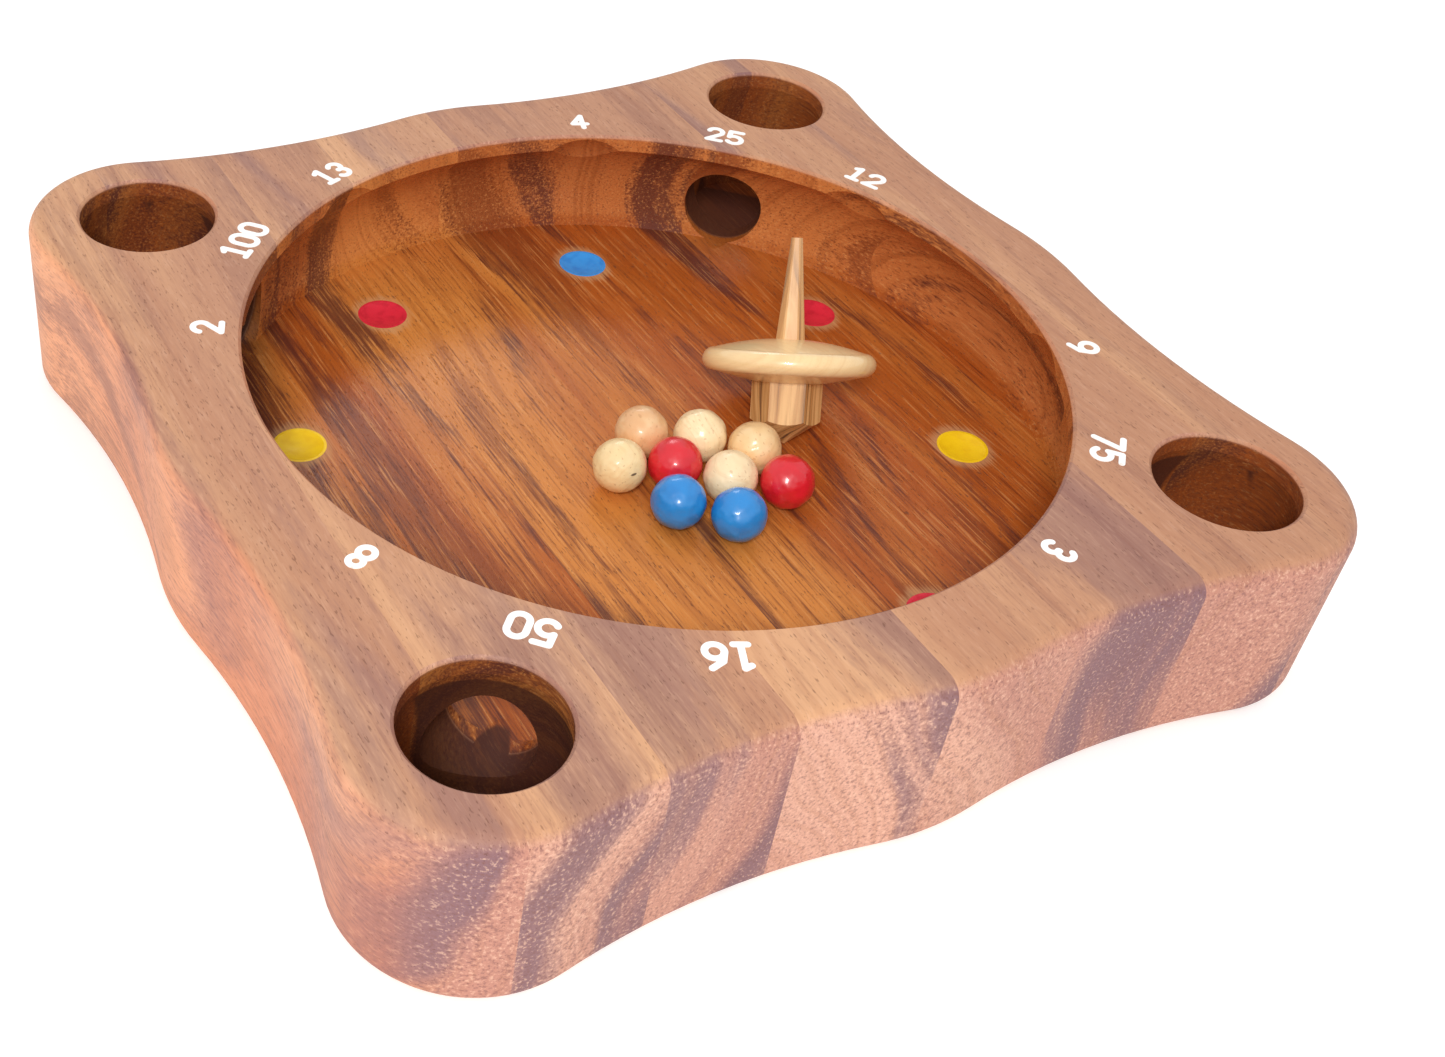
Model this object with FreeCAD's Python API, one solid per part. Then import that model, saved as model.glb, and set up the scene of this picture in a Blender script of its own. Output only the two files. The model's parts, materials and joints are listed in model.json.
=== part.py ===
"""Tyrolean roulette: a wavy wooden board with a round basin, corner pockets, balls and a leaning top.

Millimetres. +Z is up and the origin is the centre of the flat underside. The planks run along Y.
"""
import FreeCAD, Part
import os
from math import atan2, cos, degrees, hypot, radians, sin, sqrt

V = FreeCAD.Vector
UP = V(0, 0, 1)

# --- board -----------------------------------------------------------------------------------
THICKNESS = 52.0
HALF_WIDTH = 137.3          # origin to the middle of each side
LOBE_CENTRE = 105.2         # corner lobes and pockets share these centres, in x and in y
LOBE_RADIUS = 33.0
BULGE_RADIUS = 80.0         # convex arc in the middle of a side
DIP_RADIUS = 220.0          # hollow arc between the bulge and a lobe
TOP_ROUND = 5.0
BOTTOM_ROUND = 4.0
GLUE_LINES = (-111.5, -77.0, -44.0, -5.0, 34.0, 72.0, 111.5)

# --- basin -----------------------------------------------------------------------------------
BASIN_RADIUS = 110.0
BASIN_DEPTH = 37.0
LIP = 5.0                   # straight band under the rim, above the hollowed wall
COVE_MID = 120.0            # radius of the hollowed wall half-way down
COVE_FOOT = 118.0           # radius where it meets the floor
RIM_BEVEL = 0.8

# --- pockets and the runs that feed them -------------------------------------------------------
POCKET_RADIUS = 18.8
POCKET_MID = 21.2
POCKET_FOOT = 18.5
POCKET_DEPTH = 41.5
RUN_RADIUS = 12.5
RUN_SLOPE = 6.0             # degrees down towards the pocket
RUN_START = 107.0           # distance from the basin's centre where the drill breaks in
RUN_ANGLES = (47.0, 135.0, 223.0, 315.0)    # drilled by eye, so two run a little off the diagonal

# --- painted dimples and printed numbers -------------------------------------------------------
DIMPLE_CIRCLE = 94.6
DIMPLE_RADIUS = 7.4
DIMPLE_ANGLES = (24.5, 70.5, 115.0, 157.5, 203.5, 246.5, 293.0, 339.0)
DIMPLE_DEPTH = 1.3
PAINT = 0.25
NUMBER_CIRCLE = 118.8
NUMBERS = (12, 25, 4, 13, 100, 2, 8, 50, 16, 3, 75, 9)
NUMBER_ANGLES = (26, 48.5, 71, 113.5, 135.5, 156.5, 204.5, 225.5, 246.5, 292.5, 315.5, 337.5)
INK = 0.15
STROKE = 1.7
ADVANCE = 6.3

# --- balls -------------------------------------------------------------------------------------
BALL_RADIUS = 7.5
REST_GAP = 0.1
BALLS = {
    "ball_natural_1": (-14.7, -12.2),
    "ball_natural_2": (-1.6, -1.9),
    "ball_natural_3": (13.0, -9.2),
    "ball_natural_4": (24.3, -19.6),
    "ball_natural_5": (11.0, -27.9),
    "ball_red_1": (-0.1, -17.2),
    "ball_red_2": (24.5, -35.4),
    "ball_blue_1": (-7.7, -31.4),
    "ball_blue_2": (4.6, -42.0),
}

# --- spinning top --------------------------------------------------------------------------------
TOP_FOOT = (39.7, -13.4)
TOP_LEAN = 33.0             # degrees from upright
TOP_HEADING = 64.9          # degrees from +X, the way the stem leans
TOP_LENGTH = 57.6
BLOCK_CORNER = 9.9          # hexagonal foot block, centre to corner
BLOCK_TURN = -12.0          # degrees of the block's corners about the spindle
CONE_HEIGHT = 6.6
TIP_RADIUS = 0.35
BLOCK_TOP = 19.0
DISC_CENTRE = 23.1
DISC_RADIUS = 24.3
DISC_HALF = 6.4
DISC_EDGE = 3.2             # radius of the disc's rounded rim
PEG_RADIUS = 3.6
STEM_RADIUS = 4.5
STEM_TIP_RADIUS = 1.7

FLOOR = THICKNESS - BASIN_DEPTH


def polar(radius, angle, z=0.0):
    a = radians(angle)
    return V(radius * cos(a), radius * sin(a), z)


def meeting_centre(c1, r1, c2, r2):
    """Centre of the circle r1 from c1 and r2 from c2, on the side further along +X."""
    d = hypot(c2[0] - c1[0], c2[1] - c1[1])
    along = (r1 * r1 - r2 * r2 + d * d) / (2 * d)
    across = sqrt(r1 * r1 - along * along)
    ux, uy = (c2[0] - c1[0]) / d, (c2[1] - c1[1]) / d
    return c1[0] + along * ux + across * uy, c1[1] + along * uy - across * ux


def on_circle(centre, radius, toward):
    a = atan2(toward[1] - centre[1], toward[0] - centre[0])
    return V(centre[0] + radius * cos(a), centre[1] + radius * sin(a), 0)


def mirror(p):
    return V(p.x, -p.y, 0)


def outline():
    """Closed wavy outline: every side is dip, bulge, dip, and a round lobe joins two sides."""
    bulge = (HALF_WIDTH - BULGE_RADIUS, 0.0)
    lobe = (LOBE_CENTRE, LOBE_CENTRE)
    dip = meeting_centre(bulge, BULGE_RADIUS + DIP_RADIUS, lobe, LOBE_RADIUS + DIP_RADIUS)
    a = on_circle(bulge, BULGE_RADIUS, dip)
    b = on_circle(lobe, LOBE_RADIUS, dip)
    dip_mid = on_circle(dip, DIP_RADIUS, (a + b) * 0.5)
    corner = V(LOBE_CENTRE, LOBE_CENTRE, 0) + polar(LOBE_RADIUS, 45)
    side = [
        Part.Arc(mirror(b), mirror(dip_mid), mirror(a)).toShape(),
        Part.Arc(mirror(a), V(HALF_WIDTH, 0, 0), a).toShape(),
        Part.Arc(a, dip_mid, b).toShape(),
        Part.Arc(b, corner, V(b.y, b.x, 0)).toShape(),
    ]
    edges = []
    for turn in range(4):
        for edge in side:
            turned = edge.copy()
            turned.rotate(V(0, 0, 0), UP, 90 * turn)
            edges.append(turned)
    return Part.Wire(Part.__sortEdges__(edges))


def level_edges(solid, z):
    """Edges that lie flat at height z."""
    return [e for e in solid.Edges if max(abs(e.BoundBox.ZMin - z), abs(e.BoundBox.ZMax - z)) < 1e-4]


def turned_solid(segments):
    """Revolve a closed profile, given in the XZ plane, round the Z axis."""
    return Part.Face(Part.Wire(segments)).revolve(V(0, 0, 0), UP, 360)


def line(p, q):
    return Part.makeLine(V(p[0], 0, p[1]), V(q[0], 0, q[1]))


def arc(p, m, q):
    return Part.Arc(V(p[0], 0, p[1]), V(m[0], 0, m[1]), V(q[0], 0, q[1])).toShape()


def hollow(radius, mid, foot, depth):
    """Cutter for a bowl with a straight lip, a hollowed wall and a flat floor, top at Z = 0."""
    rim = radius + RIM_BEVEL
    points = [(0, 2), (rim, 2), (rim, 0), (radius, -RIM_BEVEL), (radius, -LIP), (foot, -depth), (0, -depth)]
    return turned_solid([
        line(points[0], points[1]),
        line(points[1], points[2]),
        line(points[2], points[3]),
        line(points[3], points[4]),
        arc(points[4], (mid, -(LIP + depth) / 2), points[5]),
        line(points[5], points[6]),
        line(points[6], points[0]),
    ])


def run_cutter(angle):
    """Inclined drill hole from the basin wall into the pocket."""
    slope = radians(RUN_SLOPE)
    start = polar(RUN_START, angle, FLOOR + RUN_RADIUS - 0.5 + (COVE_FOOT - RUN_START) * sin(slope))
    way = polar(cos(slope), angle, -sin(slope))
    return Part.makeCylinder(RUN_RADIUS, LOBE_CENTRE * sqrt(2) - RUN_START, start, way)


def dimple_ball(lift):
    """Sphere that dips below Z = 0, turned so that its poles and seam stay out of the dimple."""
    radius = (DIMPLE_RADIUS ** 2 + DIMPLE_DEPTH ** 2) / (2 * DIMPLE_DEPTH)
    ball = Part.makeSphere(radius)
    ball.rotate(V(0, 0, 0), V(1, 0, 0), 90)
    ball.translate(V(0, 0, radius - DIMPLE_DEPTH + lift))
    return ball


def board_blank():
    blank = Part.Face(outline()).extrude(V(0, 0, THICKNESS))
    blank = blank.makeFillet(TOP_ROUND, level_edges(blank, THICKNESS))
    return blank.makeFillet(BOTTOM_ROUND, level_edges(blank, 0.0))


def board_cutters():
    """Basin, pockets, runs and dimples, each in its place."""
    cutters = []
    basin = hollow(BASIN_RADIUS, COVE_MID, COVE_FOOT, BASIN_DEPTH)
    basin.translate(V(0, 0, THICKNESS))
    cutters.append(basin)
    for angle in (45, 135, 225, 315):
        pocket = hollow(POCKET_RADIUS, POCKET_MID, POCKET_FOOT, POCKET_DEPTH)
        pocket.translate(polar(LOBE_CENTRE * sqrt(2), angle, THICKNESS))
        cutters.append(pocket)
    for angle in RUN_ANGLES:
        cutters.append(run_cutter(angle))
    for angle in DIMPLE_ANGLES:
        dimple = dimple_ball(0.0)
        dimple.translate(polar(DIMPLE_CIRCLE, angle, FLOOR))
        cutters.append(dimple)
    return cutters


def planks():
    """Saw the blank along its glue lines, then hollow every plank."""
    reach = 200.0
    blank = board_blank()
    cutters = board_cutters()
    stations = (-reach,) + GLUE_LINES + (reach,)
    out = {}
    for index, (left, right) in enumerate(zip(stations, stations[1:])):
        slab = Part.makeBox(right - left, 2 * reach, 2 * reach, V(left, -reach, -reach))
        plank = blank.common(slab)
        for cutter in cutters:
            if cutter.BoundBox.intersect(plank.BoundBox):
                plank = plank.cut(cutter)
        out["plank_%d" % (index + 1)] = plank.Solids[0]
    return out


def dimple_paint():
    """Thin paint shell that lines one dimple, centred on the origin with the floor at Z = 0."""
    floor_side = Part.makeBox(40, 40, 20, V(-20, -20, -20))
    return dimple_ball(0.0).common(floor_side).cut(dimple_ball(PAINT))


def ink_bar(p, q):
    length = hypot(q[0] - p[0], q[1] - p[1])
    bar = Part.makeBox(length, STROKE, INK, V(0, -STROKE / 2, 0))
    bar.rotate(V(0, 0, 0), UP, degrees(atan2(q[1] - p[1], q[0] - p[0])))
    bar.translate(V(p[0], p[1], 0))
    return [bar, ink_dot(p), ink_dot(q)]


def ink_dot(p):
    return Part.makeCylinder(STROKE / 2, INK, V(p[0], p[1], 0))


def ink_arc(centre, radius, start, sweep):
    inner, outer = radius - STROKE / 2, radius + STROKE / 2
    corners = ((inner, 0), (outer, 0), (outer, INK), (inner, INK), (inner, 0))
    section = Part.Face(Part.makePolygon([V(x, 0, z) for x, z in corners]))
    ring = section.revolve(V(0, 0, 0), UP, sweep)
    ring.rotate(V(0, 0, 0), UP, start)
    ring.translate(V(centre[0], centre[1], 0))
    if sweep >= 360:
        return [ring]
    middle = V(centre[0], centre[1], 0)
    return [ring, ink_dot(middle + polar(radius, start)), ink_dot(middle + polar(radius, start + sweep))]


def digit(n):
    """Strokes of one digit, 9 mm tall and centred on the origin."""
    if n == 0:
        return (ink_arc((0, 1.5), 2.2, 0, 180) + ink_arc((0, -1.5), 2.2, 180, 180)
                + ink_bar((-2.2, -1.5), (-2.2, 1.5)) + ink_bar((2.2, -1.5), (2.2, 1.5)))
    if n == 1:
        return (ink_bar((0.2, -3.7), (0.2, 3.7)) + ink_bar((0.2, 3.7), (-1.3, 2.8))
                + ink_bar((-1.4, -3.7), (1.8, -3.7)))
    if n == 2:
        return (ink_arc((0, 1.6), 2.1, -35, 205) + ink_bar((1.72, 0.4), (-2.1, -3.7))
                + ink_bar((-2.1, -3.7), (2.2, -3.7)))
    if n == 3:
        return ink_arc((-0.2, 1.8), 1.9, -90, 240) + ink_arc((-0.2, -1.8), 1.9, -150, 240)
    if n == 4:
        return (ink_bar((0.9, 3.7), (-2.2, -1.3)) + ink_bar((-2.2, -1.3), (2.3, -1.3))
                + ink_bar((0.9, 3.7), (0.9, -3.7)))
    if n == 5:
        return (ink_bar((-1.7, 3.7), (2.0, 3.7)) + ink_bar((-1.7, 3.7), (-1.8, 0.2))
                + ink_arc((-0.1, -1.4), 2.3, -145, 283))
    if n == 6:
        return (ink_arc((0, -1.5), 2.2, 0, 360) + ink_bar((-2.1, -1.0), (-1.5, 1.6))
                + ink_bar((-1.5, 1.6), (1.2, 3.7)))
    if n == 7:
        return ink_bar((-2.1, 3.7), (2.2, 3.7)) + ink_bar((2.2, 3.7), (-0.6, -3.7))
    if n == 8:
        return ink_arc((0, 1.95), 1.75, 0, 360) + ink_arc((0, -1.75), 1.95, 0, 360)
    strokes = digit(6)
    for stroke in strokes:
        stroke.rotate(V(0, 0, 0), UP, 180)
    return strokes


def number(value, angle):
    """Printed number with its foot towards the basin."""
    text = str(value)
    pieces = []
    for place, character in enumerate(text):
        for piece in digit(int(character)):
            piece.translate(V((place - (len(text) - 1) / 2) * ADVANCE, 0, 0))
            pieces.append(piece)
    ink = pieces[0].multiFuse(pieces[1:]).removeSplitter()
    ink.rotate(V(0, 0, 0), UP, angle - 90)
    ink.translate(polar(NUMBER_CIRCLE, angle, THICKNESS))
    return ink


def hexagon(corner_radius, z):
    corners = [polar(corner_radius, 60 * k + 30 + BLOCK_TURN, z) for k in range(7)]
    return Part.Face(Part.makePolygon(corners))


def spindle():
    """Foot block, hidden peg and faceted stem in one stick, standing upright with its tip at Z = 0."""
    block = hexagon(BLOCK_CORNER, 0).extrude(V(0, 0, BLOCK_TOP))
    cone = Part.makeCone(TIP_RADIUS, 2 * BLOCK_CORNER - TIP_RADIUS, 2 * CONE_HEIGHT)
    shank = Part.makeCylinder(BLOCK_CORNER + 2, BLOCK_TOP, V(0, 0, CONE_HEIGHT * 1.2))
    block = block.common(cone.fuse(shank))
    peg = Part.makeCylinder(PEG_RADIUS, DISC_CENTRE - BLOCK_TOP + 4.0, V(0, 0, BLOCK_TOP - 1.0))
    lower = hexagon(STEM_RADIUS, DISC_CENTRE + 2.5).Wires[0]
    upper = hexagon(STEM_TIP_RADIUS, TOP_LENGTH).Wires[0]
    stem = Part.makeLoft([lower, upper], True)
    turning = Part.makeCone(STEM_RADIUS * 1.26, STEM_TIP_RADIUS * 0.93, TOP_LENGTH - 10, V(0, 0, 10))
    stem = stem.common(turning)
    return block.fuse([peg, stem]).removeSplitter()


def disc():
    """Lens-shaped flywheel with a rounded rim, bored for the spindle."""
    edge = DISC_RADIUS - DISC_EDGE
    swell = DISC_HALF - (DISC_HALF - DISC_EDGE) / 4
    profile = [
        arc((0, -DISC_HALF), (edge / 2, -swell), (edge, -DISC_EDGE)),
        arc((edge, -DISC_EDGE), (DISC_RADIUS, 0), (edge, DISC_EDGE)),
        arc((edge, DISC_EDGE), (edge / 2, swell), (0, DISC_HALF)),
        line((0, DISC_HALF), (0, -DISC_HALF)),
    ]
    lens = turned_solid(profile)
    lens.translate(V(0, 0, DISC_CENTRE))
    return lens


def lean(shape):
    shape.rotate(V(0, 0, 0), V(0, 1, 0), TOP_LEAN)
    shape.rotate(V(0, 0, 0), UP, TOP_HEADING)
    shape.translate(V(TOP_FOOT[0], TOP_FOOT[1], FLOOR + REST_GAP + TIP_RADIUS * sin(radians(TOP_LEAN))))
    return shape


def main():
    os.makedirs("parts", exist_ok=True)
    parts = planks()
    for index, angle in enumerate(DIMPLE_ANGLES):
        paint = dimple_paint()
        paint.translate(polar(DIMPLE_CIRCLE, angle, FLOOR))
        parts["dimple_%d" % (index + 1)] = paint
    for value, angle in zip(NUMBERS, NUMBER_ANGLES):
        parts["number_%d" % value] = number(value, angle)
    for name, (x, y) in BALLS.items():
        centre = V(x, y, FLOOR + REST_GAP + BALL_RADIUS)
        parts[name] = Part.makeSphere(BALL_RADIUS, centre, UP, -90, 90, 360)
    stick = spindle()
    parts["top_disc"] = lean(disc().cut(stick))
    parts["top_spindle"] = lean(stick)
    for name, shape in parts.items():
        shape.exportStep("parts/%s.step" % name)
        print(name, len(shape.Solids), round(shape.Volume, 1), shape.isValid())


main()
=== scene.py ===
# %% [markdown]
# A Tyrolean roulette: a thick block of edge-glued planks with a round basin cut into it, nine
# little wooden balls and a lens-shaped spinning top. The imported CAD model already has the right
# shapes and sizes, so this script gives the wood its grain, paints and polishes the small
# pieces, and lights the whole as on a white table. It starts by loading that model as a fixed
# frame. Sizes are in metres and most are read from the frame. The few that it doesn't give,
# such as how far the basin's wall is hollowed out, are written out as numbers.

# %% Load the frame
import json
import math
import bpy
from mathutils import Matrix, Vector


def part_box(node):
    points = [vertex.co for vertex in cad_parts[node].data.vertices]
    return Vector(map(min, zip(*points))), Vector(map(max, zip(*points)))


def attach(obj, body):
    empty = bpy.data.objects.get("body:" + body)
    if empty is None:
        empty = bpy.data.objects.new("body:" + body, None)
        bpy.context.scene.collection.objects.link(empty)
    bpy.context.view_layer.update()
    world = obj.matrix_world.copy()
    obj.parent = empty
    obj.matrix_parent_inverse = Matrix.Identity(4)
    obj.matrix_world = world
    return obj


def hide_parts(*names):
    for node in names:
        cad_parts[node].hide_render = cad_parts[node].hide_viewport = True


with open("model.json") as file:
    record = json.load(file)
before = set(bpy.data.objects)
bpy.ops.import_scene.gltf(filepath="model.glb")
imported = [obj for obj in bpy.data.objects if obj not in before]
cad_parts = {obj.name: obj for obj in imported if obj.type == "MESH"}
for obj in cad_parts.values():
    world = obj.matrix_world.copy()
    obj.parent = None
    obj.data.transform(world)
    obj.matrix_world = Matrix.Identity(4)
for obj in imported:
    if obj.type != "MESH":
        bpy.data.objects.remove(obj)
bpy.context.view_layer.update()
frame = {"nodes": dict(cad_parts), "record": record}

nodes = frame["nodes"]
scene = bpy.context.scene

# %% [markdown]
# The sizes that the finishes need. The planks give the top face, the dimples give the basin's
# floor and a ball gives its own radius. The board is square and centred on the origin, so one
# number places all four pockets. The two WALL radii reach a little into the wood, so that a
# hollow's wall counts as inside it. MM turns metres into the millimetres of the wood's pattern.

# %% Sizes read from the frame
MM = 1000.0
TOP_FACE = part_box("plank_5")[1][2]
dimple_low, dimple_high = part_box("dimple_1")
FLOOR = dimple_high[2]
DIMPLE_RADIUS = (dimple_high[0] - dimple_low[0]) / 2
BASIN_WALL = 0.122
POCKET_CENTRE = 0.1052
POCKET_WALL = 0.024
ball_low, ball_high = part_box("ball_blue_1")
BALL_RADIUS = (ball_high[1] - ball_low[1]) / 2
print("top face %.1f mm, floor %.1f mm" % (TOP_FACE * MM, FLOOR * MM))

# %% [markdown]
# Materials are written as sums. `Value` wraps an output socket, and each arithmetic sign adds
# the Math node that does it, so `1 - mask * 0.5` reads as it would on paper. `Finish` owns one
# material: `node` adds any other kind of node, its settings first and then its inputs.

# %% Shader arithmetic
class Value:
    """A number that varies over a surface."""

    def __init__(self, finish, socket):
        self.finish, self.socket = finish, socket

    def math(self, operation, *others):
        inputs = {i: v for i, v in enumerate((self,) + others)}
        return self.finish.node("ShaderNodeMath", {"operation": operation}, inputs)

    def __add__(self, other):
        return self.math("ADD", other)

    def __sub__(self, other):
        return self.math("SUBTRACT", other)

    def __rsub__(self, other):
        settings = {"operation": "SUBTRACT"}
        return self.finish.node("ShaderNodeMath", settings, {0: other, 1: self})

    def __mul__(self, other):
        return self.math("MULTIPLY", other)

    def __truediv__(self, other):
        return self.math("DIVIDE", other)

    __radd__ = __add__
    __rmul__ = __mul__

    def abs(self):
        return self.math("ABSOLUTE")

    def root(self):
        return self.math("SQRT")

    def most(self, other):
        return self.math("MAXIMUM", other)

    def step(self, start, end):
        """0 before start, 1 after end and a soft ramp between them."""
        settings = {"interpolation_type": "SMOOTHSTEP"}
        inputs = {0: self, 1: min(start, end), 2: max(start, end)}
        rising = self.finish.node("ShaderNodeMapRange", settings, inputs)
        return rising if end > start else 1.0 - rising


class Finish:
    """One node material, ending in a Principled shader."""

    def __init__(self, name, **constants):
        self.material = bpy.data.materials.new(name)
        self.material.use_nodes = True
        self.tree = self.material.node_tree
        self.shader = self.tree.nodes["Principled BSDF"]
        for socket, value in constants.items():
            self.shader.inputs[socket.replace("_", " ")].default_value = value

    def plug(self, socket, value):
        if isinstance(value, Value):
            self.tree.links.new(value.socket, socket)
        else:
            socket.default_value = value

    def node(self, kind, settings=None, inputs=None, output=0):
        made = self.tree.nodes.new(kind)
        for name, value in (settings or {}).items():
            setattr(made, name, value)
        for name, value in (inputs or {}).items():
            self.plug(made.inputs[name], value)
        return Value(self, made.outputs[output])

    def split(self, vector):
        """A vector's three parts, as values."""
        outputs = self.node("ShaderNodeSeparateXYZ", None, {0: vector}).socket.node.outputs
        return [Value(self, socket) for socket in outputs]

    def place(self):
        """Object coordinates, as x, y and z in millimetres."""
        where = self.node("ShaderNodeTexCoord", output="Object")
        return [value * MM for value in self.split(where)]

    def vector(self, x, y, z):
        return self.node("ShaderNodeCombineXYZ", None, {0: x, 1: y, 2: z})

    def noise(self, vector, detail=2.0, roughness=0.5):
        settings = {"noise_dimensions": "3D"}
        inputs = {"Vector": vector, "Scale": 1.0, "Detail": detail, "Roughness": roughness}
        return self.node("ShaderNodeTexNoise", settings, inputs)

    def mix(self, factor, a, b):
        settings = {"data_type": "RGBA", "blend_type": "MIX", "clamp_factor": True}
        return self.node("ShaderNodeMix", settings, {0: factor, 6: a, 7: b}, output=2)

    def bump(self, height, strength, distance):
        inputs = {"Height": height, "Strength": strength, "Distance": distance}
        return self.node("ShaderNodeBump", None, inputs)

    def finish(self, **sockets):
        for name, value in sockets.items():
            self.plug(self.shader.inputs[name.replace("_", " ")], value)
        return self.material


def rgb(red, green, blue):
    """A colour given as the 0-255 values of a paint chart, turned into light."""
    def light(c):
        c = c / 255.0
        return c / 12.92 if c <= 0.04045 else ((c + 0.055) / 1.055) ** 2.4
    return (light(red), light(green), light(blue), 1.0)


print("a paint-chart grey of 128 is", round(rgb(128, 128, 128)[0], 3), "as light")

# %% [markdown]
# The board is solid wood, and solid wood shows one and the same pattern cut at different
# angles: long streaks along the planks, speckled arcs on the sawn ends, and curves where the
# basin's wall crosses the grain. Painting each face apart would never line up, so the wood is
# a solid texture instead. Every plank is a piece of its own tree, with its pith somewhere
# under or beside it, and the pattern depends on the distance from that pith.

# %% The wood of one plank
RUN_SPREAD = 25.0           # in a drilled run, |x| and |y| differ by about this at most
RUN_TOP = 44.0              # the runs stay below this height
RUN_MOUTH, RUN_END = 121.0, 160.0    # from the basin's middle


def dimples_in(plank):
    """Centres of the dimples that are cut into a plank, in millimetres."""
    low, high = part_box(plank)
    centres = []
    for name in sorted(n for n in nodes if n.startswith("dimple_")):
        a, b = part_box(name)
        if a[0] < high[0] and b[0] > low[0]:
            centres.append(((a[0] + b[0]) / 2 * MM, (a[1] + b[1]) / 2 * MM))
    return centres


def plank_wood(plank, pith_x, pith_z, shift, heart_share, tone_share):
    """Acacia. The pith's place is in millimetres, shift moves the noise, the shares are 0 to 1."""
    wood = Finish("wood_" + plank, Specular_IOR_Level=0.22)
    x, y, z = wood.place()
    drift = wood.noise(wood.vector(x / 60 + shift, y / 150, z / 60), detail=1.0)
    sway = wood.noise(wood.vector(x / 60, y / 150 + shift, z / 60 + 9.0), detail=1.0)
    dx = x - pith_x + (drift - 0.5) * 40
    dz = z - pith_z + (sway - 0.5) * 40
    ring = (dx * dx + dz * dz).root()

    # From slow to fine: tone of the tree, heartwood streaks, year rings, fibres and pores.
    tone = wood.noise(wood.vector(ring / 26 + shift, y / 260, shift), detail=2.0)
    bands = wood.vector(ring / 12 + shift * 3, y / 150, shift)
    bands = wood.noise(bands, detail=3.0, roughness=0.62)
    years = wood.noise(wood.vector(ring / 1.9, y / 170, x / 60 + shift), detail=2.0)
    fibres = wood.vector(x / 0.65, y / 22, z / 0.65 + shift)
    fibres = wood.noise(fibres, detail=3.0, roughness=0.62)
    mottle = wood.vector(x / 5, y / 11, z / 5 + shift)
    mottle = wood.noise(mottle, detail=3.0, roughness=0.65)
    pores = wood.noise(wood.vector(x / 0.42, y / 2.3, z / 0.42 + shift), detail=1.0)
    grit = wood.vector(x / 0.9, y / 7, z / 0.9 + shift)
    grit = wood.noise(grit, detail=2.0, roughness=0.6)
    broad = wood.noise(wood.vector(ring / 20 + shift * 5, y / 200, z / 160 + shift), detail=2.0)
    threshold = 0.60 - 0.14 * heart_share
    heart = bands + (fibres - 0.5) * 0.34 + (mottle - 0.5) * 0.16
    heart = heart.step(threshold, 0.78 - 0.14 * heart_share)
    veil = (broad + (grit - 0.5) * 0.10).step(threshold, 0.76 - 0.14 * heart_share)
    tone = (tone + 0.3 * (tone_share - 0.5)).step(0.34, 0.66)
    late = years.step(0.45, 0.72)
    pore = pores.step(0.64, 0.74)
    dark_fibre, pale_fibre = fibres.step(0.52, 0.72), fibres.step(0.46, 0.30)

    # Which surface is this? Inside a hollow, or outside on a sawn end, a long side or the top.
    radius = (x * x + y * y).root()
    px, py = x.abs() - POCKET_CENTRE * MM, y.abs() - POCKET_CENTRE * MM
    pocket = (px * px + py * py).root()
    inward = radius.step(BASIN_WALL * MM + 0.6, BASIN_WALL * MM)
    inward_pocket = pocket.step(POCKET_WALL * MM + 0.6, POCKET_WALL * MM)
    inward = inward.most(inward_pocket)
    run = (x.abs() - y.abs()).abs().step(RUN_SPREAD + 1, RUN_SPREAD)
    run = run * z.step(RUN_TOP + 1, RUN_TOP)
    # Every run cuts a groove below the floor just before the wall. Only the near-left one gets
    # painted shade there, as if the basin's wall shadowed it; the others are left varnished.
    groove = z.step(FLOOR * MM - 0.05, FLOOR * MM - 0.3) * radius.step(113.5, 116.0)
    groove = groove * x.step(5.0, -5.0) * y.step(5.0, -5.0)
    run = run * radius.step(RUN_MOUTH, RUN_MOUTH + 2).most(groove)
    run = run * radius.step(RUN_END, RUN_END - 2)
    below = z.step(TOP_FACE * MM - 0.3, TOP_FACE * MM - 1.4)
    inside = inward.most(run) * below * z.step(6.0, 7.0)
    across, along, _ = wood.split(wood.node("ShaderNodeTexCoord", output="Normal"))
    sawn = along.abs().step(0.45, 0.9) * (1.0 - inside)
    flank = across.abs().step(0.5, 0.9) * (1.0 - inside)

    # Sanded and oiled outside: tan with soft grey streaks above, orange along the sides and
    # pink on the sawn ends, where the heartwood turns mauve.
    outer = wood.mix(tone, rgb(216, 164, 124), rgb(190, 138, 108))
    outer = wood.mix(flank * 0.85, outer, wood.mix(tone, rgb(240, 170, 128), rgb(206, 126, 90)))
    outer = wood.mix(sawn * 0.9, outer, wood.mix(tone, rgb(214, 162, 142), rgb(190, 134, 118)))
    outer = wood.mix(late * 0.30, outer, rgb(176, 120, 90))
    outer = wood.mix(veil * (0.42 + 0.36 * sawn + 0.14 * flank), outer, rgb(112, 86, 100))
    outer = wood.mix(heart * (0.30 - 0.12 * sawn + 0.25 * flank), outer, rgb(124, 82, 78))
    outer = wood.mix(dark_fibre * 0.20, outer, rgb(150, 98, 72))
    dark_grit = grit.step(0.50, 0.70) * (0.14 + 0.50 * sawn + 0.18 * flank)
    outer = wood.mix(dark_grit, outer, rgb(130, 88, 82))
    outer = wood.mix(grit.step(0.46, 0.30) * (0.12 + 0.35 * sawn), outer, rgb(236, 192, 166))
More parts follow.
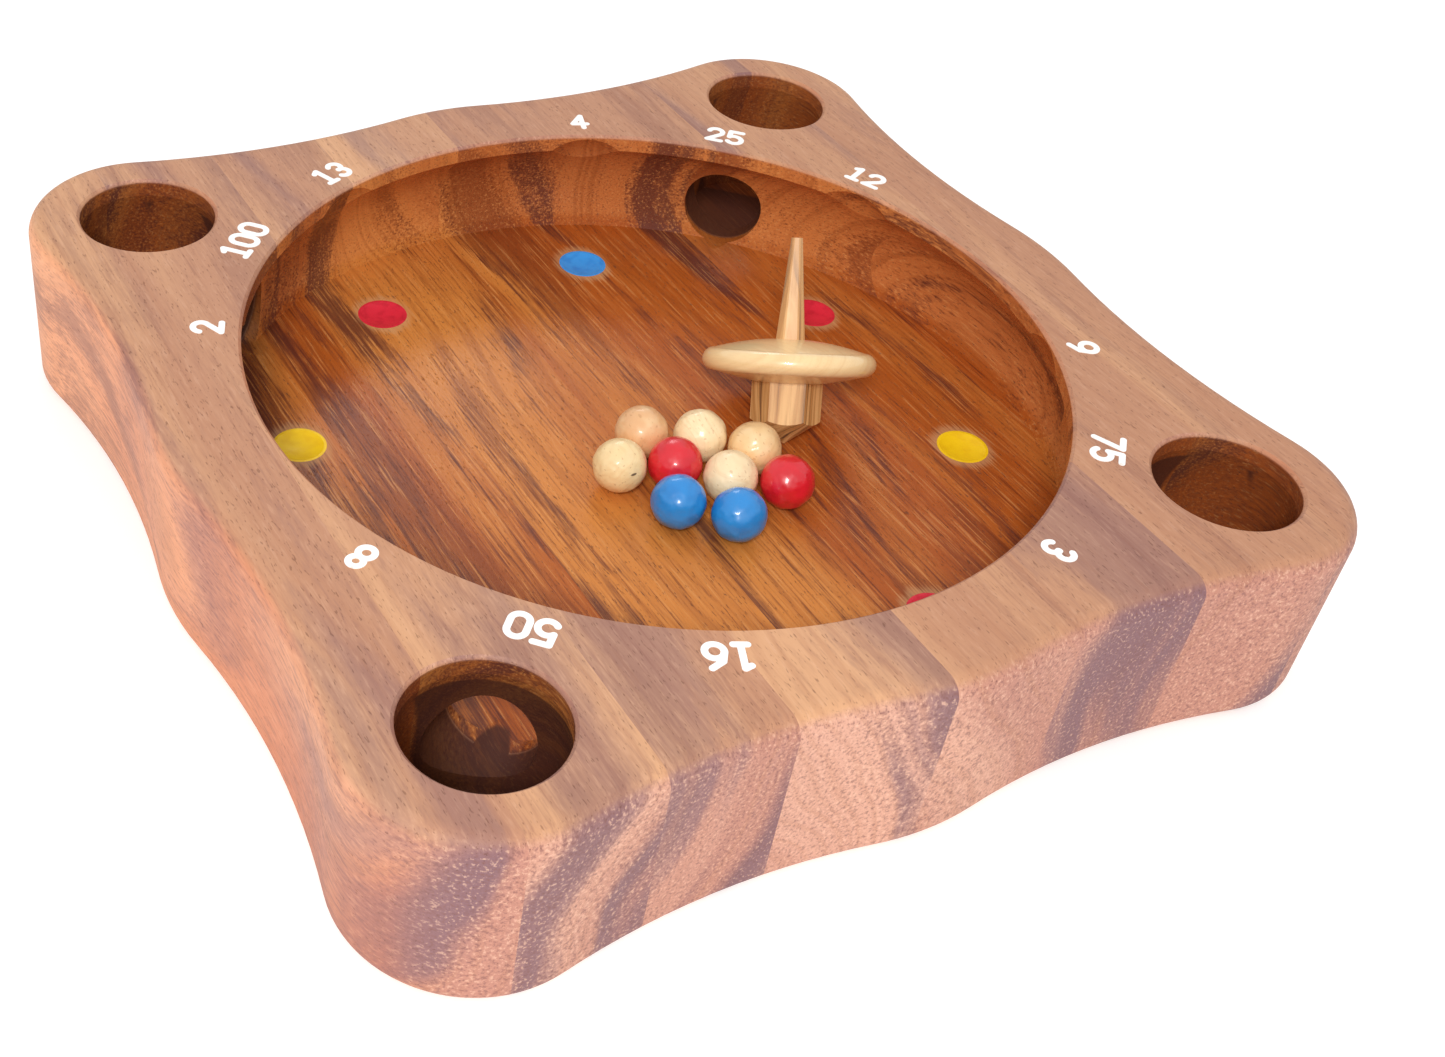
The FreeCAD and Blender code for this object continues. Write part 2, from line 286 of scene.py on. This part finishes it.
    # Varnished inside: saturated orange and red-brown with nearly black heartwood.
    inner = wood.mix(tone, rgb(208, 130, 60), rgb(174, 88, 32))
    # Painted light: the basin's walls above the floor are lightened, evening out the shade that
    # falls on them.
    wall = z.step(FLOOR * MM + 1, FLOOR * MM + 5) * (1.0 - inward_pocket)
    inner = wood.mix(wall * 0.35, inner, rgb(228, 150, 92))
    inner = wood.mix(late * 0.35, inner, rgb(138, 66, 26))
    deep_band = (broad + (fibres - 0.5) * 0.30).step(0.52, 0.64)
    inner = wood.mix(deep_band * 0.55, inner, rgb(118, 54, 30))
    inner = wood.mix(heart * 0.80, inner, rgb(88, 44, 40))
    inner = wood.mix(dark_fibre * 0.50, inner, rgb(104, 46, 22))
    inner = wood.mix(pale_fibre * 0.40, inner, rgb(226, 162, 100))
    # Pockets and runs: rough raw grain, darkened with painted shade because these deep hollows lie
    # in shadow.
    raw_grain_and_shade = (inward_pocket.most(run) * (0.20 + 0.9 * (grit - 0.3))).most(0.0)
    inner = wood.mix(raw_grain_and_shade, inner, rgb(84, 44, 36))
    # Painted shade: the drilled runs, with the near-left groove, are darkened as holes that lie in
    # shadow.
    inner = wood.mix(run * 0.80, inner, rgb(74, 40, 32))
    colour = wood.mix(inside, outer, inner)
    colour = wood.mix(pore * (0.42 + 0.2 * inside), colour, rgb(92, 56, 42))

    # Scraped wood round each dimple, ragged along the grain.
    scraped = None
    for cx, cy in dimples_in(plank):
        ux, uy = x - cx, y - cy
        reach = (ux * ux + uy * uy * 0.72).root() + (fibres - 0.5) * 7
        ragged = reach.step(DIMPLE_RADIUS * MM + 2.4, DIMPLE_RADIUS * MM - 0.6)
        scraped = ragged if scraped is None else scraped.most(ragged)
    rough = 0.52 + 0.10 * pore + 0.12 * (fibres - 0.5) + 0.08 * sawn - 0.24 * inside
    rough = rough + 0.30 * inside * inward_pocket.most(run)
    if scraped is not None:
        colour = wood.mix(scraped * inside * 0.5, colour, rgb(206, 158, 112))
        rough = rough + 0.15 * scraped * inside
    relief = fibres * 0.6 + years * 0.2 - pore * 1.2
    return wood.finish(Base_Color=colour, Roughness=rough, Normal=wood.bump(relief, 0.4, 0.00014))


# %% [markdown]
# The eight planks came from different trees, so each one has its own pith, its own share of
# heartwood and its own tone. The piths lie far to the side, so that the rings cross the sawn
# ends nearly upright. The material goes straight into the CAD node's slots, because the
# planks' shapes are already right.

# %% Dress the planks
PLANKS = {
    "plank_1": dict(pith_x=-290, pith_z=60, shift=1.7, heart_share=0.3, tone_share=0.4),
    "plank_2": dict(pith_x=70, pith_z=-40, shift=4.1, heart_share=0.9, tone_share=0.6),
    "plank_3": dict(pith_x=-210, pith_z=70, shift=7.3, heart_share=1.0, tone_share=0.5),
    "plank_4": dict(pith_x=130, pith_z=90, shift=11.9, heart_share=0.7, tone_share=0.3),
    "plank_5": dict(pith_x=-120, pith_z=-50, shift=15.2, heart_share=0.6, tone_share=0.6),
    "plank_6": dict(pith_x=200, pith_z=40, shift=19.6, heart_share=0.8, tone_share=0.8),
    "plank_7": dict(pith_x=-60, pith_z=80, shift=23.8, heart_share=0.6, tone_share=0.9),
    "plank_8": dict(pith_x=300, pith_z=0, shift=28.4, heart_share=0.5, tone_share=0.8),
}


def dress(node, material):
    """Gives a CAD node one material, whatever slots it came with."""
    mesh = nodes[node].data
    mesh.materials.clear()
    mesh.materials.append(material)


for name, tree in PLANKS.items():
    dress(name, plank_wood(name, **tree))
print("planks dressed:", len(PLANKS))

# %% [markdown]
# The scoring dimples are brushed with enamel and the numbers are printed in white ink. Both are
# thin skins that sit on the wood. Enamel levels itself, so it has a soft sheen with faint brush
# waves; the ink is flat and lets a little of the grain's relief through.

# %% Enamel and ink
def enamel(name, colour, deep):
    paint = Finish(name, Coat_Weight=0.1, Coat_Roughness=0.2, Specular_IOR_Level=0.3)
    x, y, z = paint.place()
    waves = paint.noise(paint.vector(x / 0.7, y / 3.0, z), detail=2.0)
    pools = paint.noise(paint.vector(x / 3, y / 3, z), detail=1.0)
    tint = paint.mix(pools.step(0.4, 0.75) * 0.5, colour, deep)
    relief = paint.bump(waves, 0.3, 0.0001)
    return paint.finish(Base_Color=tint, Roughness=0.38 + 0.15 * waves, Normal=relief)


ENAMELS = {
    "red": enamel("enamel_red", rgb(224, 40, 62), rgb(184, 20, 42)),
    "blue": enamel("enamel_blue", rgb(60, 156, 236), rgb(36, 124, 212)),
    "yellow": enamel("enamel_yellow", rgb(250, 206, 14), rgb(236, 184, 8)),
}
slots = {part["node"]: part["material_slot"] for part in frame["record"]["subparts"]}
for name in nodes:
    if name.startswith("dimple_"):
        dress(name, ENAMELS[slots[name].split("_")[1]])

ink = Finish("printed_ink")
x, y, z = ink.place()
grain = ink.noise(ink.vector(x / 0.5, y / 5, z), detail=2.0)
worn = ink.noise(ink.vector(x / 1.2, y / 2.4, z), detail=2.0).step(0.66, 0.74)
ink_white = ink.mix(worn * 0.5, rgb(252, 252, 250), rgb(226, 200, 178))
ink.finish(Base_Color=ink_white, Roughness=0.55 + 0.2 * grain, Normal=ink.bump(grain, 0.25, 0.0001))
for name in nodes:
    if name.startswith("number_"):
        dress(name, ink.material)
print("dimples and numbers dressed")

# %% [markdown]
# The balls are turned beads. A lathe and a tumbling drum leave them a little out of round, with
# soft hollows that break up the highlight. A Geometry Nodes tree makes one: an ico sphere whose
# points are pushed inwards, never outwards, by a slow noise. Its radius, its unevenness and its
# seed are inputs, so nine calls give nine different beads, and each result becomes a plain mesh
# that takes the place of its CAD ball.

# %% The bead tree
LUMP_LEVEL = 0.62           # where the noise is below this, the bead is pushed in


def bead_tree():
    tree = bpy.data.node_groups.new("turned_bead", "GeometryNodeTree")
    tree.interface.new_socket("Geometry", in_out="INPUT", socket_type="NodeSocketGeometry")
    for label, kind in (("Radius", "Float"), ("Unevenness", "Float"), ("Seed", "Float"),
                        ("Centre", "Vector"), ("Finish", "Material")):
        tree.interface.new_socket(label, in_out="INPUT", socket_type="NodeSocket" + kind)
    tree.interface.new_socket("Geometry", in_out="OUTPUT", socket_type="NodeSocketGeometry")

    def add(kind, settings=None, inputs=None):
        node = tree.nodes.new(kind)
        for key, value in (settings or {}).items():
            setattr(node, key, value)
        for key, value in (inputs or {}).items():
            if isinstance(value, bpy.types.NodeSocket):
                tree.links.new(value, node.inputs[key])
            else:
                node.inputs[key].default_value = value
        return node

    given = add("NodeGroupInput").outputs
    ball = add("GeometryNodeMeshIcoSphere", None, {"Radius": given["Radius"], "Subdivisions": 6})
    where = add("GeometryNodeInputPosition").outputs[0]
    outward = add("ShaderNodeVectorMath", {"operation": "NORMALIZE"}, {0: where}).outputs[0]
    lump = add("ShaderNodeTexNoise", {"noise_dimensions": "4D"},
               {"Vector": outward, "W": given["Seed"], "Scale": 2.2, "Detail": 1.0})
    centred = add("ShaderNodeMath", {"operation": "SUBTRACT"}, {0: lump.outputs[0], 1: LUMP_LEVEL})
    inward = add("ShaderNodeMath", {"operation": "MINIMUM"}, {0: centred.outputs[0], 1: 0.0})
    size = add("ShaderNodeMath", {"operation": "MULTIPLY"},
               {0: inward.outputs[0], 1: given["Unevenness"]})
    push = add("ShaderNodeVectorMath", {"operation": "SCALE"},
               {0: outward, "Scale": size.outputs[0]})
    shaped = add("GeometryNodeSetPosition", None,
                 {"Geometry": ball.outputs[0], "Offset": push.outputs[0]})
    placed = add("GeometryNodeTransform", None,
                 {"Geometry": shaped.outputs[0], "Translation": given["Centre"]})
    smooth = add("GeometryNodeSetShadeSmooth", None, {"Geometry": placed.outputs[0]})
    real = add("GeometryNodeRealizeInstances", None, {"Geometry": smooth.outputs[0]})
    coated = add("GeometryNodeSetMaterial", None,
                 {"Geometry": real.outputs[0], "Material": given["Finish"]})
    end = add("NodeGroupOutput")
    tree.links.new(coated.outputs[0], end.inputs[0])
    return tree


BEAD = bead_tree()
SOCKET = {item.name: item.identifier
          for item in BEAD.interface.items_tree if item.in_out == "INPUT"}
UNEVENNESS = 0.0007


def bead(name, centre, seed, material):
    """One ball as a plain mesh, its place in its points."""
    holder = bpy.data.objects.new(name, bpy.data.meshes.new(name + "_seed"))
    scene.collection.objects.link(holder)
    modifier = holder.modifiers.new("bead", "NODES")
    modifier.node_group = BEAD
    values = {"Radius": BALL_RADIUS, "Unevenness": UNEVENNESS, "Seed": seed,
              "Centre": centre, "Finish": material}
    for label, value in values.items():
        modifier[SOCKET[label]] = value
    evaluated = holder.evaluated_get(bpy.context.evaluated_depsgraph_get())
    mesh = bpy.data.meshes.new_from_object(evaluated)
    holder.modifiers.clear()
    holder.data = mesh
    mesh.name = name
    return holder


print("bead inputs:", sorted(SOCKET))

# %% [markdown]
# Five balls are bare birch: creamy, with faint growth lines, a few tan flecks and sometimes a
# small dark nick. Four are dipped in satin colour that is thin enough to let the wood's lines
# lift the surface. One seed turns and shifts the pattern from ball to ball.

# %% Ball finishes
def birch(name, seed, tone, nick=None):
    wood = Finish(name, Coat_Weight=0.45, Coat_Roughness=0.14)
    x, y, z = wood.place()
    u = x * math.cos(seed) + z * math.sin(seed)
    v = z * math.cos(seed) - x * math.sin(seed)
    turn = wood.noise(wood.vector(u / 9, y / 9, v / 9 + seed), detail=1.0)
    lines = wood.noise(wood.vector(u / 0.8 + turn * 5, y / 12, v / 14 + seed), detail=2.0)
    cloud = wood.noise(wood.vector(u / 5, y / 6, v / 5 + seed * 3), detail=2.0)
    fleck = wood.noise(wood.vector(u / 0.7, y / 1.9, v / 0.7 + seed), detail=0.0).step(0.70, 0.78)
    colour = wood.mix(lines.step(0.45, 0.75) * 0.35, rgb(*tone), rgb(226, 180, 124))
    colour = wood.mix(cloud.step(0.45, 0.8) * 0.4, colour, rgb(250, 226, 182))
    colour = wood.mix(fleck * 0.3, colour, rgb(160, 106, 64))
    if nick is not None:
        a, b, c = (x - nick[0]) / 1.6, y - nick[1], (z - nick[2]) / 0.6
        mark = ((a * a + b * b + c * c).root() + (cloud - 0.5) * 0.8).step(0.75, 0.45)
        colour = wood.mix(mark * 0.85, colour, rgb(66, 40, 26))
    rough = 0.36 + 0.14 * lines + 0.2 * fleck
    relief = wood.bump(lines - fleck, 0.2, 0.0001)
    return wood.finish(Base_Color=colour, Roughness=rough, Normal=relief)


def dipped(name, seed, colour, deep):
    paint = Finish(name, Coat_Weight=0.6, Coat_Roughness=0.12)
    x, y, z = paint.place()
    lines = paint.noise(paint.vector(x / 0.9 + seed, y / 9, z / 5), detail=2.0)
    cloud = paint.noise(paint.vector(x / 6, y / 6, z / 6 + seed), detail=2.0)
    tint = paint.mix(cloud.step(0.4, 0.8) * 0.5, colour, deep)
    rough = 0.30 + 0.16 * cloud
    relief = paint.bump(lines + cloud, 0.25, 0.00012)
    return paint.finish(Base_Color=tint, Roughness=rough, Normal=relief)


TONES = {1: (246, 216, 162), 2: (230, 178, 128), 3: (252, 226, 180),
         4: (242, 202, 146), 5: (250, 222, 178)}
NICK = (0.02, -0.96, 0.28)  # where one ball is nicked, as shares of its radius
for number, name in enumerate(sorted(n for n in nodes if n.startswith("ball_"))):
    low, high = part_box(name)
    centre = [(a + b) / 2 for a, b in zip(low, high)]
    if "natural" in name:
        spot = [(c + BALL_RADIUS * d) * MM for c, d in zip(centre, NICK)]
        nick = spot if name == "ball_natural_1" else None
        coat = birch("birch_" + name, 1.3 + number * 2.1, TONES[int(name[-1])], nick)
    elif "red" in name:
        coat = dipped("dipped_" + name, number * 3.7, rgb(222, 28, 44), rgb(190, 14, 30))
    else:
        coat = dipped("dipped_" + name, number * 3.7, rgb(36, 138, 214), rgb(22, 112, 188))
    ball = bead("bead_" + name, centre, number * 1.7, coat)
    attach(ball, name + "_body")
    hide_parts(name)
print("beads made:", number + 1)

# %% [markdown]
# The spinning top leans on its foot, and its grain leans with it. The pattern is turned back
# with a Mapping node so that it runs along the spindle's own axis, which the record's hinge
# gives. The disc is pale maple under a bright lacquer, with growth lines right across the
# lens; the spindle is olive-brown wood striped lengthwise.

# %% Finishes of the spinning top
hinge = next(j for j in frame["record"]["behaviour"]["joints"] if j["name"] == "top_spin")
AXIS = Vector(hinge["axis"]).normalized()
FOOT = Vector(hinge["pos_m"])
upright = AXIS.rotation_difference(Vector((0, 0, 1))).to_matrix().to_4x4()
STAND = upright @ Matrix.Translation(-FOOT)


def stood_up(finish):
    """Object coordinates with the top standing upright on the origin, in millimetres."""
    where = finish.node("ShaderNodeTexCoord", output="Object")
    inputs = {"Vector": where, "Location": STAND.to_translation(),
              "Rotation": STAND.to_euler("XYZ")}
    turned = finish.node("ShaderNodeMapping", {"vector_type": "POINT"}, inputs)
    return [value * MM for value in finish.split(turned)]


maple = Finish("lacquered_maple", Coat_Weight=0.7, Coat_Roughness=0.06)
x, y, z = stood_up(maple)
bow = maple.noise(maple.vector(x / 30, y / 40, z / 30), detail=1.0)
dx, dz = x + 60 + bow * 14, z - 70
ring = (dx * dx + dz * dz).root()
lines = maple.noise(maple.vector(ring / 1.5, y / 60, 2.0), detail=2.0)
fibre = maple.noise(maple.vector(x / 0.4, y / 9, z / 0.4), detail=1.0)
body = maple.mix(lines.step(0.42, 0.72) * 0.30, rgb(248, 214, 160), rgb(222, 172, 112))
body = maple.mix(fibre.step(0.5, 0.8) * 0.12, body, rgb(200, 146, 90))
maple.finish(Base_Color=body, Roughness=0.26 + 0.12 * fibre, Normal=maple.bump(lines, 0.12, 0.0001))
dress("top_disc", maple.material)

olive = Finish("striped_olive", Coat_Weight=0.1, Coat_Roughness=0.3)
x, y, z = stood_up(olive)
wander = olive.noise(olive.vector(x / 14, y / 14, z / 50), detail=1.0) * 5
stripes = olive.vector((x + y * 0.35) / 2.0 + wander, y / 16, z / 120)
stripes = olive.noise(stripes, detail=3.0, roughness=0.6)
hair = olive.noise(olive.vector(x / 0.5, y / 0.5, z / 11), detail=2.0)
body = olive.mix(stripes.step(0.40, 0.62), rgb(236, 188, 124), rgb(196, 142, 82))
body = olive.mix(stripes.step(0.61, 0.69), body, rgb(112, 82, 56))
body = olive.mix(hair.step(0.5, 0.8) * 0.3, body, rgb(132, 92, 54))
body = olive.mix(z.step(22.0, 27.0) * 0.4, body, rgb(226, 176, 128))
olive.finish(Base_Color=body, Roughness=0.42 + 0.16 * hair, Normal=olive.bump(hair, 0.3, 0.0001))
dress("top_spindle", olive.material)
print("top's axis:", [round(a, 3) for a in AXIS])

# %% [markdown]
# A product picture on white: a pale table, a soft key lamp above and behind the camera, a weak
# window behind the board that gives the varnish its sheen, and a white surround that fills the
# shadows. The table glows faintly, so that it stays white in the shade.

# %% Table, lamps and surround
TABLE_REACH = 6.0
TABLE_GLOW = 0.16
ROOM_LIGHT = 0.72
BOARD_MIDDLE = (0, 0, 0.03)


def table_top(reach):
    mesh = bpy.data.meshes.new("table_top")
    corners = [(-reach, -reach, 0), (reach, -reach, 0), (reach, reach, 0), (-reach, reach, 0)]
    mesh.from_pydata(corners, [], [(0, 1, 2, 3)])
    table = bpy.data.objects.new("table_top", mesh)
    scene.collection.objects.link(table)
    cloth = Finish("table_white")
    x, y, z = cloth.place()
    speck = cloth.noise(cloth.vector(x / 40, y / 40, z), detail=2.0)
    white = cloth.mix(speck * 0.2, rgb(252, 252, 252), rgb(248, 248, 249))
    cloth.finish(Base_Color=white, Roughness=0.7 + 0.1 * speck,
                 Emission_Color=white, Emission_Strength=TABLE_GLOW)
    mesh.materials.append(cloth.material)
    return table


table_top(TABLE_REACH)


def soft_lamp(name, place, size, power, colour, sheen=1.0):
    lamp = bpy.data.lights.new(name, "AREA")
    lamp.shape, lamp.size, lamp.size_y = "RECTANGLE", size[0], size[1]
    lamp.energy, lamp.color, lamp.specular_factor = power, colour, sheen
    holder = bpy.data.objects.new(name, lamp)
    holder.location = place
    aim = Vector(BOARD_MIDDLE) - Vector(place)
    holder.rotation_euler = aim.to_track_quat("-Z", "Y").to_euler()
    scene.collection.objects.link(holder)


soft_lamp("key", (-0.62, -0.72, 0.88), (0.24, 0.24), 9.5, (1.0, 0.985, 0.96))
soft_lamp("window", (0.5, 1.3, 0.9), (0.5, 0.4), 2.0, (0.97, 0.985, 1.0), 0.4)
world = bpy.data.worlds.new("white_room")
scene.world = world
world.use_nodes = True
surround = world.node_tree.nodes["Background"]
surround.inputs[0].default_value = (1.0, 1.0, 1.0, 1.0)
surround.inputs[1].default_value = ROOM_LIGHT
scene.view_settings.view_transform = "Standard"
scene.view_settings.look = "None"

# %% [markdown]
# The camera looks down at the near-left quarter. It stands on a line that turns 31 degrees
# round the board from the front and climbs 41 degrees, and it is rolled six degrees so that
# the board tips a little. The lens shift slides the picture sideways without turning it.

# %% Camera
RIM = 0.110                 # radius of the basin's rim
HEADING, CLIMB, ROLL = -31.242, 40.735, 6.042     # degrees
DISTANCE = 3.788 * RIM
SENSOR, LENS = 36.0, 44.826104      # millimetres
SIDE_SHIFT = 0.15397924             # as a share of the picture's width
AIM = Vector((-0.677 * RIM, -0.476 * RIM, TOP_FACE))
heading, climb = math.radians(HEADING), math.radians(CLIMB)
back = Vector((math.sin(heading) * math.cos(climb), -math.cos(heading) * math.cos(climb),
               math.sin(climb)))
camera = bpy.data.objects.new("camera", bpy.data.cameras.new("camera"))
camera.location = AIM + back * DISTANCE
level = (-back).to_track_quat("-Z", "Y").to_matrix()
camera.rotation_euler = (level @ Matrix.Rotation(math.radians(ROLL), 3, "Z")).to_euler()
camera.data.sensor_width = SENSOR
camera.data.lens = LENS
camera.data.shift_x = SIDE_SHIFT
camera.data.clip_start = 0.01
scene.collection.objects.link(camera)
scene.camera = camera
print("lens %.1f mm, shift %.3f" % (camera.data.lens, camera.data.shift_x))
